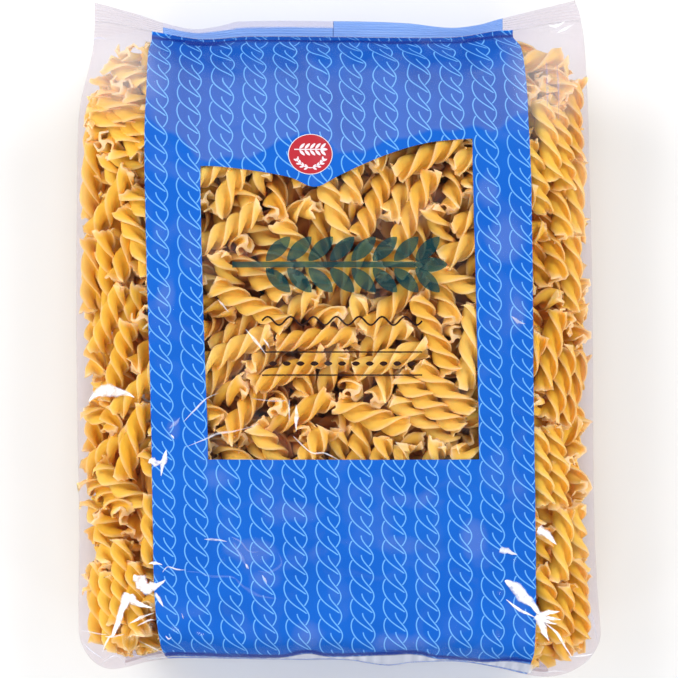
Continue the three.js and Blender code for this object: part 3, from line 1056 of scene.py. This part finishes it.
def depth_at(points):
    """Depth and direction inwards at each point, blended between the eight nearest places."""
    q = (points - field_start) / FIELD_STEP
    q = np.clip(q, 0, np.array(field_values.shape[:3]) - 1.001)
    base = q.astype(int)
    part = q - base
    total = np.zeros((len(points), 4))
    for corner in np.ndindex(2, 2, 2):
        weight = np.prod(np.where(corner, part, 1 - part), axis=1)
        i, j, k = (base + corner).T
        total += weight[:, None] * field_values[i, j, k]
    return total[:, 0], total[:, 1:]


def scatter_twists():
    """First places, directions and half lengths: anywhere inside the film, pointing any way in
    the bag's plane, but mostly along the bag near its sides. A few start at each shoulder, so
    that the two top corners fill too."""
    spots = pasta_random.uniform(*SCATTER_BOX, (TWIST_COUNT * 4, 3))
    spots = spots[depth_at(spots)[0] > 5][:TWIST_COUNT]
    angle = pasta_random.uniform(0, np.pi, len(spots))
    upright = np.pi / 2 + pasta_random.normal(0, LEAN_SPREAD, len(spots))
    angle = np.where(np.abs(spots[:, 0]) > SIDE_START, upright, angle)
    tilt = pasta_random.normal(0, LEAN_SPREAD, len(spots))
    direction = np.stack(
        [np.cos(angle) * np.cos(tilt), np.sin(angle) * np.cos(tilt), np.sin(tilt)], -1
    )
    corner = np.arange(len(spots)) < 2 * CORNER_TWISTS
    side = np.where(np.arange(len(spots)) % 2 == 0, -1, 1)
    shoulder = pasta_random.uniform(*SHOULDER_BOX, (len(spots), 3))
    shoulder[:, 0] *= side
    spots = np.where(corner[:, None], shoulder, spots)
    half = pasta_random.uniform(*HALF_LENGTHS, len(spots))
    return spots, direction, half


def nearest_on_rods(start_a, along_a, start_b, along_b):
    """Shares along two rods at which they are nearest to each other, held within both rods."""
    gap = start_a - start_b
    aa = (along_a**2).sum(1)
    bb = (along_b**2).sum(1)
    ab = (along_a * along_b).sum(1)
    ag = (along_a * gap).sum(1)
    bg = (along_b * gap).sum(1)
    spread = np.maximum(aa * bb - ab * ab, 1e-6)
    s = np.clip((ab * bg - ag * bb) / spread, 0, 1)
    t = np.clip((ab * s + bg) / bb, 0, 1)
    s = np.clip((ab * t - ag) / aa, 0, 1)
    return s, t


def settle_twists():
    """Moves the rods' ends apart where two rods are closer than their radii, and inwards where
    they reach the film, round by round, and keeps each rod's length. The gap to the film is
    wider at the sides and the bottom, and narrower near the crimp."""
    middle, direction, half = scatter_twists()
    ends = np.stack([middle - direction * half[:, None], middle + direction * half[:, None]])
    count = len(middle)
    first, second = np.triu_indices(count, 1)
    for turn in range(SETTLING_ROUNDS):
        if turn % NEIGHBOUR_ROUNDS == 0:
            centre = ends.mean(0)
            close = ((centre[first] - centre[second]) ** 2).sum(1) < NEIGHBOUR_REACH**2
            a, b = first[close], second[close]
        along = ends[1] - ends[0]
        s, t = nearest_on_rods(ends[0][a], along[a], ends[0][b], along[b])
        gap = ends[0][a] + s[:, None] * along[a] - ends[0][b] - t[:, None] * along[b]
        distance = np.maximum(np.linalg.norm(gap, axis=1), 1e-4)
        hit = distance < 2 * ROD_RADIUS
        push = (gap / distance[:, None] * (2 * ROD_RADIUS - distance)[:, None])[hit] * PUSH_SHARE
        move = np.zeros_like(ends)
        weight = np.zeros((2, count))
        for rods, share, sign in ((a[hit], s[hit], 1), (b[hit], t[hit], -1)):
            for end, lever in ((0, 1 - share), (1, share)):
                np.add.at(move[end], rods, sign * push * lever[:, None])
                np.add.at(weight[end], rods, lever)
        ends += move / np.maximum(weight, 1.0)[..., None] * PUSH_GAIN
        for end in (0, 1):
            depth, inwards = depth_at(ends[end])
            need = TWIST_RADIUS + FILM_GAP + smooth_step(np.abs(ends[end][:, 0]), 84, 104)
            need = need + 2.2 * smooth_step(-ends[end][:, 1], 118, 130)
            need = need - 0.8 * smooth_step(ends[end][:, 1], 92, 112)
            ends[end] += np.maximum(need - depth, 0)[:, None] * inwards
        centre = ends.mean(0)
        along = ends[1] - ends[0]
        along /= np.linalg.norm(along, axis=1, keepdims=True)
        ends = np.stack([centre - along * half[:, None], centre + along * half[:, None]])
    return ends.mean(0), along, half


twist_middle, twist_along, twist_half = settle_twists()
twist_half = twist_half + END_LENGTH


# Middle line of one arm of the screw's section, as radius and angle, and half its thickness
ARM_STATIONS = [
    (0.6, 0.0, 0.62), (1.8, 0.05, 0.6), (3.0, 0.28, 0.56), (4.0, 0.66, 0.48), (4.5, 1.12, 0.3),
]
COARSE_STATIONS = [(0.6, 0.0, 0.62), (3.3, 0.35, 0.55), (4.5, 1.1, 0.35)]


def screw_section(stations):
    """The screw's section, anticlockwise, as complex numbers, with how far out along its arm each
    point is. Three arms leave the middle, bend over to run along the rim, and thin out. Each
    side of an arm is its middle line moved sideways by half the thickness. It is mirrored at the
    end, because these screws are left-handed."""
    radius, angle, half = np.array(stations).T
    middle = radius * np.exp(1j * angle)
    direction = np.gradient(middle)
    direction /= np.abs(direction)
    outer, inner = middle - 1j * half * direction, middle + 1j * half * direction
    out = np.arange(1, len(radius))
    arm = np.concatenate([[1.15 * np.exp(-1.0j)], outer[1:], inner[:0:-1]])
    along_arm = np.concatenate([[0], out, out[::-1]])
    arms = np.concatenate([arm * np.exp(2j * np.pi * k / 3) for k in range(3)])
    return np.conj(arms)[::-1], np.tile(along_arm, 3)[::-1]


def screw_meshes(chosen, rings, stations):
    """Points, faces, tone and paleness of many pasta twists at once: floury cut ends, and a painted
    highlight along the arms' outer edges. The section turns as it goes along the twist's own axis,
    which is bent a little. Near both cut ends the arms have torn to uneven lengths and crinkle to
    and fro from station to station. Both ends are closed."""
    section, station = screw_section(stations)
    n, q, outermost = len(chosen), len(section), len(stations) - 1
    a_arm = q // 3
    draw = np.random.default_rng(29).uniform(-1, 1, (len(twist_middle), 24))[chosen]
    of_size, of_lead, of_start, of_swell, of_sway, at_far, at_near = draw.T[:7, :, None, None]
    half = twist_half[chosen][:, None, None]
    share = np.concatenate([[-1, -0.955], np.linspace(-0.88, 0.88, rings - 4), [0.955, 1]])
    share = share[None, :, None]
    far_out = (station / outermost)[None, None]
    at_end = np.clip((np.abs(share) - 0.93) / 0.07, 0, 1)
    turn = -2 * np.pi / (TWIST_LEAD * (1 + 0.2 * of_lead)) * half * share
    size = (1 + 0.05 * of_size) * (1 + 0.05 * far_out * np.sin(3 * share + 6 * of_swell))
    crinkle = np.where(station % 2 == 1, 1.0, -1.0)[None, None] * (station > 0)
    sway = 0.1 * far_out * np.sin(5 * share + 6 * of_sway)
    sway = sway + at_end * far_out * (0.16 * crinkle + 0.1 * np.where(share > 0, at_far, at_near))
    flare = 1 + 0.13 * at_end * far_out
    ring_points = section * size * flare * np.exp(1j * (turn + np.pi * of_start + sway))
    arm_number = np.repeat(np.arange(3), a_arm)
    torn = np.where(share > 0, *(draw[:, None, k + arm_number] for k in (7, 10)))
    tear = 1.5 * torn * far_out + 0.4 * crinkle * (1 + 0.5 * draw[:, 13, None, None])
    along = half * share + np.sign(share) * at_end * tear
    bend = 1.5 * draw[:, 14, None, None] * (share**2 - 0.4)
    axis = twist_along[chosen]
    helper = np.where(np.abs(axis[:, 2:]) < 0.8, [[0.0, 0.0, 1.0]], [[1.0, 0.0, 0.0]])
    first = np.cross(axis, helper)
    first /= np.linalg.norm(first, axis=1, keepdims=True)
    second = np.cross(axis, first)
    points = (
        twist_middle[chosen][:, None, None]
        + (ring_points.real + bend)[..., None] * first[:, None, None]
        + ring_points.imag[..., None] * second[:, None, None]
        + along[..., None] * axis[:, None, None]
    )
    ring, spot = np.meshgrid(np.arange(rings - 1), np.arange(q), indexing="ij")
    after = (spot + 1) % q
    walls = np.stack(
        [ring * q + spot, ring * q + after, (ring + 1) * q + after, (ring + 1) * q + spot], -1
    ).reshape(-1, 4)
    core = np.flatnonzero(station <= 1)
    caps = [core[::-1], (rings - 1) * q + core]
    for k in range(3):
        for m in range(1, outermost):
            inner, outer = a_arm - m, m
            strip = q - 1 - k * a_arm - np.array([inner, inner - 1, outer + 1, outer])
            caps += [strip[::-1], (rings - 1) * q + strip]
    each = rings * q
    starts = (np.arange(n) * each)[:, None]
    faces = (walls[None] + starts[..., None]).reshape(-1, 4).tolist()
    for cap in caps:
        faces += (cap[None] + starts).tolist()
    tone = np.repeat(0.5 + 0.5 * draw[:, 15], each)
    # Paleness: floury at the cut ends, and a painted highlight along the arms' outer edges
    pale_and_highlit = np.maximum(0.6 * (far_out > 0.99), at_end) + 0 * far_out
    pale_and_highlit = np.broadcast_to(pale_and_highlit, (n, rings, q)).ravel()
    return points.reshape(-1, 3), faces, tone, pale_and_highlit


# Extruded durum wheat dough, dried: a waxy yellow, a little see-through at thin edges, with a
# sandy skin from the bronze die, whose grit is drawn coarser than it is so that it shows, and
# paler, floury cut ends; the arms' outer edges near the film get a painted highlight. Further
# down, where light only comes through other pieces, a painted shade turns it amber, and painted
# light makes it more golden at the sides.
dry_pasta_with_painted_light, tree, surface = new_material("dried_durum_wheat_pasta_with_painted_light_and_shade")
object_place = add_node(tree, "TexCoord", output="Object")
# Attributes: random tone, paleness of floury ends and painted edge highlights, painted shade deep
# inside, painted light at the sides
tone, pale_and_highlit, depth_shade, side_lit = (
    add_node(tree, "Attribute", output="Fac", attribute_name=name)
    for name in ("tone", "pale_and_highlit", "depth_shade", "side_lit")
)
mottling = add_node(
    tree,
    "TexNoise",
    {"Vector": object_place, "Scale": 1 / (PASTA_MOTTLE * MM), "Detail": 3.0, "Roughness": 0.6},
)
mottled = add_node(tree, "Math", mottling, 0.35, operation="MULTIPLY")
depth_shade_share = add_node(tree, "Math", depth_shade, 0.8, operation="MULTIPLY")
floury_and_highlit = add_node(tree, "Math", mottling, 0.8, 0.15, operation="MULTIPLY_ADD")
floury_and_highlit = add_node(tree, "Math", pale_and_highlit, floury_and_highlit, operation="MULTIPLY", use_clamp=True)
depth_shade_colour = add_node(
    tree,
    "Mix",
    {"Factor": side_lit, "A": linear("#d98048"), "B": linear("#f29c34")},
    output="Result",
    data_type="RGBA",
)
colour = linear("#e9bc46")
for share, other, blend in (
    (tone, linear("#f4d46c"), "MIX"), (mottled, linear("#eec878"), "MULTIPLY"),
    (side_lit, linear("#fffcd0"), "MULTIPLY"), (depth_shade_share, depth_shade_colour, "MIX"),
    (floury_and_highlit, linear("#fdeccb"), "MIX"),
):
    colour = add_node(
        tree,
        "Mix",
        {"Factor": share, "A": colour, "B": other},
        output="Result",
        data_type="RGBA",
        blend_type=blend,
    )
grit = add_node(
    tree, "TexNoise", {"Vector": object_place, "Scale": 1 / (PASTA_GRIT * MM), "Detail": 2.0}
)
rough = add_node(tree, "Bump", {"Height": grit, "Strength": 0.25, "Distance": 0.0001})
dough = add_node(
    tree,
    "BsdfPrincipled",
    {
        "Base Color": colour,
        "Roughness": 0.5,
        "IOR": 1.45,
        "Subsurface Weight": 0.6,
        "Subsurface Radius": (1.0, 0.55, 0.15),
        "Subsurface Scale": 0.003,
        "Normal": rough,
    },
    subsurface_method="BURLEY",
)
tree.links.new(dough, surface)

# Twists that may be seen, from the sides and through the window, are made in full
SIDE_FROM = 64
SEEN_AT_SIDE = 24
SEEN_IN_WINDOW = 27
WINDOW_BOX = ((-68, -60, 32), (68, 92, BAG_THICKNESS))
twist_depth = depth_at(twist_middle)[0]
at_side = np.abs(twist_middle[:, 0]) > SIDE_FROM
in_window = np.all((twist_middle > WINDOW_BOX[0]) & (twist_middle < WINDOW_BOX[1]), axis=1)
seen = (at_side & (twist_depth < SEEN_AT_SIDE)) | (in_window & (twist_depth < SEEN_IN_WINDOW))
groups = {
    "pasta_in_window": seen & ~at_side,
    "pasta_left_side": seen & at_side & (twist_middle[:, 0] < 0),
    "pasta_right_side": seen & at_side & (twist_middle[:, 0] > 0),
    "pasta_inside": ~seen,
}
for group_name, members in groups.items():
    detailed = group_name != "pasta_inside"
    points, faces, tones, pales_and_highlights = screw_meshes(
        np.flatnonzero(members),
        20 if detailed else 10,
        ARM_STATIONS if detailed else COARSE_STATIONS,
    )
    x, y, z = points.T
    share = across_share(x, y)
    skin = front_height(x, y, share)
    below_skin = skin - (0.6 if detailed else 2.0)
    points[:, 2] = np.clip(z, back_height(x, y, share) + 0.5, below_skin)
    points[:, 1] = np.clip(y, curve_through(BOTTOM_EDGE, x) + 3, curve_through(CRIMP_LINE, x) - 4)
    pasta = make_piece(group_name, points, faces, dry_pasta_with_painted_light)
    point_values(pasta, "tone", tones)
    # Paleness fades out 9 to 26 mm under the film as painted shade; deeper pieces get painted amber
    # shade, and pieces at the sides painted golden light
    point_values(pasta, "pale_and_highlit", pales_and_highlights * smooth_step(z - skin, -26, -9))
    point_values(pasta, "depth_shade", smooth_step(depth_at(points)[0], 7, 17))
    point_values(pasta, "side_lit", smooth_step(np.abs(x), 72, 86))
    pasta.data.set_sharp_from_angle(angle=np.radians(55))

# The crimped top seal
# Front and back film pressed together between ribbed jaws, which leaves fine ribs along the bag.
# The two outer ears are clear. The middle shows the print of the back, pale through two plies.

CRIMP_RIBS = 6
CRIMP_PLY = 0.12
RIB_HEIGHT = 0.16
SEAL_ROWS = 43
CRIMP_MIDDLE = (-73, 68)
SEAM_PLACE = -2.4
SEAM_HALF_WIDTH = 0.22
RIB_STREAK = (40.0, 0.909)


def ribbed_sheet(name, x, y, z, share, material):
    """A closed sheet over a grid of places, with a front, a back and edges, and with sine ribs
    across the share that each row has of its width."""
    rows, columns = x.shape
    skin = z + RIB_HEIGHT * np.sin(2 * np.pi * CRIMP_RIBS * share) * np.sin(np.pi * share) ** 0.3
    front = np.stack([x, y, skin + CRIMP_PLY / 2], -1).reshape(-1, 3)
    back = np.stack([x, y, skin - CRIMP_PLY / 2], -1).reshape(-1, 3)
    faces = grid_faces(rows, columns)
    index = np.arange(rows * columns).reshape(rows, columns)
    loop = np.concatenate([index[0, :-1], index[:-1, -1], index[-1, :0:-1], index[:0:-1, 0]])
    after = np.roll(loop, -1)
    shift = rows * columns
    edges = np.stack([after, loop, loop + shift, after + shift], -1)
    return make_piece(
        name,
        np.concatenate([front, back]),
        np.concatenate([faces, faces[:, ::-1] + shift, edges[:, ::-1]]),
        material,
    )


def seal_places(x_from, x_to, columns):
    """Grids of the place across the bag and of the share of the way across the seal."""
    x = np.linspace(x_from, x_to, columns)[None].repeat(SEAL_ROWS, 0)
    return x, np.linspace(0, 1, SEAL_ROWS)[:, None].repeat(columns, 1)


def crimp_strip(name, x_from, x_to, columns, material):
    """A strip of the crimp between two places across the bag, from the crimp's lower line to the
    top edge, and the share of the way of each of its points."""
    x, share = seal_places(x_from, x_to, columns)
    top = curve_through(TOP_EDGE, x)
    bottom = curve_through(BOTTOM_EDGE, x)
    y = top - (top - curve_through(CRIMP_LINE, x)) * (1 - share)
    x = np.clip(x, *side_edges(np.clip((y - bottom) / (top - bottom), 0, 1)))
    sheet = ribbed_sheet(name, x, y, rim_height(across_share(x, y), x, y), share, material)
    return sheet, np.tile(share.ravel(), 2)


def add_milk_and_rib_sheen(strip, share):
    """Makes a clear strip a little milky, with a painted sheen on the crest of each rib."""
    point_values(strip, "milk_and_sheen", 0.1 + 0.16 * np.sin(2 * np.pi * CRIMP_RIBS * share))


def finish_printed_seal(strip, share):
    """Gives a printed strip its share of the way across the seal."""
    point_values(strip, "share", share)


# The printed back seen pale through the fused plies, streaked along the ribs. Left of the lap
# seam the print of the back ends halfway up, and the seam's edge shows as a thin dark line.
pale_print, tree, surface = new_material("two_ply_film_over_blue_ink")
share = add_node(tree, "Attribute", output="Fac", attribute_name="share")
object_place = add_node(tree, "TexCoord", output="Object")
place_x = add_node(tree, "SeparateXYZ", object_place)
from_seam = add_node(tree, "Math", place_x, 1 / MM, -SEAM_PLACE, operation="MULTIPLY_ADD")
right_of_seam = add_node(tree, "Math", from_seam, 0.0, operation="GREATER_THAN")
seam_line = add_node(tree, "Math", from_seam, operation="ABSOLUTE")
seam_line = add_node(tree, "Math", seam_line, SEAM_HALF_WIDTH, operation="LESS_THAN")
seam_line = add_node(tree, "Math", seam_line, 0.7, operation="MULTIPLY")
streak_scale = (1 / (RIB_STREAK[0] * MM), 1 / (RIB_STREAK[1] * MM), 1.0)
stretched = add_node(tree, "Mapping", {"Vector": object_place, "Scale": streak_scale})
rib_streaks = add_node(tree, "TexNoise", {"Vector": stretched, "Scale": 1.0, "Detail": 2.0})
ink_end = add_node(tree, "Math", rib_streaks, 0.3, 0.42, operation="MULTIPLY_ADD")
ink_end = add_node(tree, "Math", right_of_seam, 0.5, ink_end, operation="MULTIPLY_ADD")
from_end = add_node(tree, "Math", share, ink_end, operation="SUBTRACT")
inked = add_node(tree, "MapRange", from_end, -0.08, 0.06, 0.8, 0.06)
colour = linear("#5f90dc")
for blend_share, hex_colour in ((rib_streaks, "#97b8ec"), (seam_line, "#2a4a8c")):
    colour = add_node(
        tree,
        "Mix",
        {"Factor": blend_share, "A": colour, "B": linear(hex_colour)},
        output="Result",
        data_type="RGBA",
    )
pale_ink = add_node(tree, "BsdfPrincipled", {"Base Color": colour, "Roughness": 0.25, "IOR": 1.49})
through = add_node(tree, "BsdfTransparent", linear("#f6f3f7"))
tree.links.new(add_node(tree, "MixShader", inked, through, pale_ink), surface)

for name, x_from, x_to in (
    ("crimp_left_ear", -103.5, CRIMP_MIDDLE[0]), ("crimp_right_ear", CRIMP_MIDDLE[1], 102.5),
):
    add_milk_and_rib_sheen(*crimp_strip(name, x_from, x_to, 60, clear_film))
finish_printed_seal(*crimp_strip("crimp_printed_middle", *CRIMP_MIDDLE, 200, pale_print))

# The seals out of sight
# The bottom seal is ribbed like the top one, and lies folded back against the slope of the
# bag's back. The lap seam runs down the back, where the two edges of the film's tube overlap.

SEAL_WIDTH = 10.0
SEAL_MIDDLE = (-72, 78)
SEAM_WIDTH = 9.0
SEAM_ENDS = (-120, 124)
SEAM_CELLS = (240, 13)


def bottom_seal(name, x_from, x_to, columns, material):
    """A strip of the bottom seal between two places across the bag, on the back's slope."""
    x, share = seal_places(x_from, x_to, columns)
    y = curve_through(BOTTOM_EDGE, x) + 1.0 + SEAL_WIDTH * share
    z = np.maximum(back_height(x, y) - 0.5, 0.3)
    return ribbed_sheet(name, x, y, z, share, material), np.tile(share.ravel(), 2)


add_milk_and_rib_sheen(*bottom_seal("bottom_seal_left", -90, SEAL_MIDDLE[0], 40, clear_film))
add_milk_and_rib_sheen(*bottom_seal("bottom_seal_right", SEAL_MIDDLE[1], 88, 30, clear_film))
middle, share = bottom_seal("bottom_seal_printed_middle", *SEAL_MIDDLE, 200, pale_print)
finish_printed_seal(middle, 0.3 * share)
seam_y = np.linspace(*SEAM_ENDS, SEAM_CELLS[0])[:, None].repeat(SEAM_CELLS[1], 1)
seam_x = np.linspace(SEAM_PLACE - SEAM_WIDTH, SEAM_PLACE, SEAM_CELLS[1])[None].repeat(SEAM_CELLS[0], 0)
seam_z = np.maximum(back_height(seam_x, seam_y) - 0.3, 0.1)
seam = ribbed_sheet("back_lap_seam", seam_x, seam_y, seam_z, 0.0, clear_film)
point_values(seam, "milk_and_sheen", np.full(2 * seam_x.size, 0.3))

# Light, floor and camera
# A pale floor and a bright room. Large soft lights stand above, in front and low on both sides,
# and two small ones at the lower corners give the glints on the film.

RIM_PIXEL = 0.42
CAMERA_HEIGHT = 1400.0
IMAGE_SIZE = 678
SENSOR = 36.0
RIM_LEVEL = 27.0
FLOOR_REACH = 6.0
BACKGROUND_STRENGTH = 0.22

floor_mesh = bpy.data.meshes.new("floor")
corners = [(-1, -1), (1, -1), (1, 1), (-1, 1)]
floor_points = [(FLOOR_REACH * x, FLOOR_REACH * y, 0) for x, y in corners]
floor_mesh.from_pydata(floor_points, [], [(0, 1, 2, 3)])
floor = bpy.data.objects.new("floor", floor_mesh)
bpy.context.scene.collection.objects.link(floor)
floor_paint, tree, surface = new_material("matt_white_floor")
tree.links.new(add_node(tree, "BsdfDiffuse", linear("#e7e7e7")), surface)
floor_mesh.materials.append(floor_paint)

# Square area lights: name, place in metres, size, power, and whether the film mirrors it. The
# large ones shine through polarising sheet, so the film doesn't.
for name, place, size, power, mirrored in (
    ("light_upper_left", (-1.3, 0.8, 1.2), 0.9, 26, False),
    ("light_upper_right", (1.3, 0.8, 1.2), 0.9, 21, False),
    ("light_overhead", (0, -0.3, 2.4), 1.2, 8.5, False),
    ("light_front", (0, -1.5, 1.3), 1.1, 12, False),
    ("light_left", (-1.6, -0.1, 0.45), 0.7, 9, False),
    ("light_right", (1.6, -0.1, 0.45), 0.7, 9, False),
    ("light_lower_left", (-1.14, -1.05, 1.1), 0.3, 3, True),
    ("light_lower_right", (1.14, -1.05, 1.1), 0.3, 3, True),
):
    light = bpy.data.lights.new(name, "AREA")
    light.size = size
    light.energy = power
    lamp = bpy.data.objects.new(name, light)
    lamp.location = place
    lamp.rotation_euler = (-lamp.location).to_track_quat("-Z", "Y").to_euler()
    lamp.visible_camera = False
    lamp.visible_glossy = mirrored
    bpy.context.scene.collection.objects.link(lamp)

world = bpy.data.worlds.new("studio")
world.use_nodes = True
background = world.node_tree.nodes["Background"]
background.inputs["Color"].default_value = linear("#f7f8fc")
background.inputs["Strength"].default_value = BACKGROUND_STRENGTH
bpy.context.scene.world = world

camera_data = bpy.data.cameras.new("camera")
camera_data.sensor_width = SENSOR
camera_data.lens = (CAMERA_HEIGHT - RIM_LEVEL) / RIM_PIXEL / IMAGE_SIZE * SENSOR
camera = bpy.data.objects.new("camera", camera_data)
camera.location = (0, 0, CAMERA_HEIGHT * MM)
bpy.context.scene.collection.objects.link(camera)
bpy.context.scene.camera = camera
bpy.context.scene.view_settings.view_transform = "Standard"
